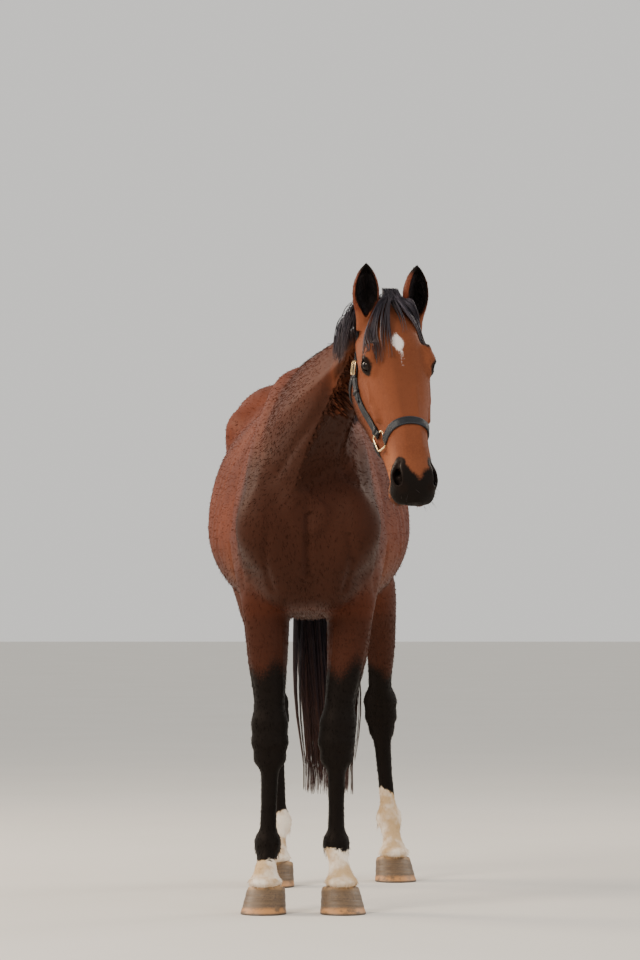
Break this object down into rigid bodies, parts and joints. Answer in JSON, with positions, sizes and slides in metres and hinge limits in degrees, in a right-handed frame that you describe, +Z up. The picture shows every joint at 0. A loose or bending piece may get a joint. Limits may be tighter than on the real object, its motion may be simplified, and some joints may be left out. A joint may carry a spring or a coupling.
{
  "type": "horse",
  "caption": "Life-size still bay horse, standing square with its head turned a little left, wearing a plain dark halter.",
  "frame": {"origin": "on the floor, under the middle of the horse's box", "axes": "+Y from head to tail along the trunk, +X towards the horse's left, +Z up"},
  "size_m": [0.6918, 2.2878, 1.9182],
  "materials": {
    "bay_coat": "short flat hair, satin",
    "black_points": "short flat hair, satin",
    "long_hair": "coarse glossy hair",
    "hoof_horn": "dull ringed horn",
    "eye": "wet gloss",
    "halter_leather": "dark stitched strap",
    "brass": "polished, worn"
  },
  "bodies": {
    "root": {"trunk": "bay_coat", "neck": "bay_coat", "head": "bay_coat", "ear_left": "bay_coat", "eye_left": "eye", "foreleg_left": "black_points", "hindleg_left": "black_points", "fore_hoof_left": "hoof_horn", "hind_hoof_left": "hoof_horn", "halter_cheek_left": "halter_leather", "halter_ring_left": "brass", "ear_right": "bay_coat", "eye_right": "eye", "foreleg_right": "black_points", "hindleg_right": "black_points", "fore_hoof_right": "hoof_horn", "hind_hoof_right": "hoof_horn", "halter_cheek_right": "halter_leather", "halter_ring_right": "brass", "halter_noseband": "halter_leather", "halter_crownpiece": "halter_leather", "halter_throat_strap": "halter_leather", "halter_jaw_strap": "halter_leather", "mane": "long_hair", "forelock": "long_hair", "tail": "long_hair"}
  },
  "joints": []
}
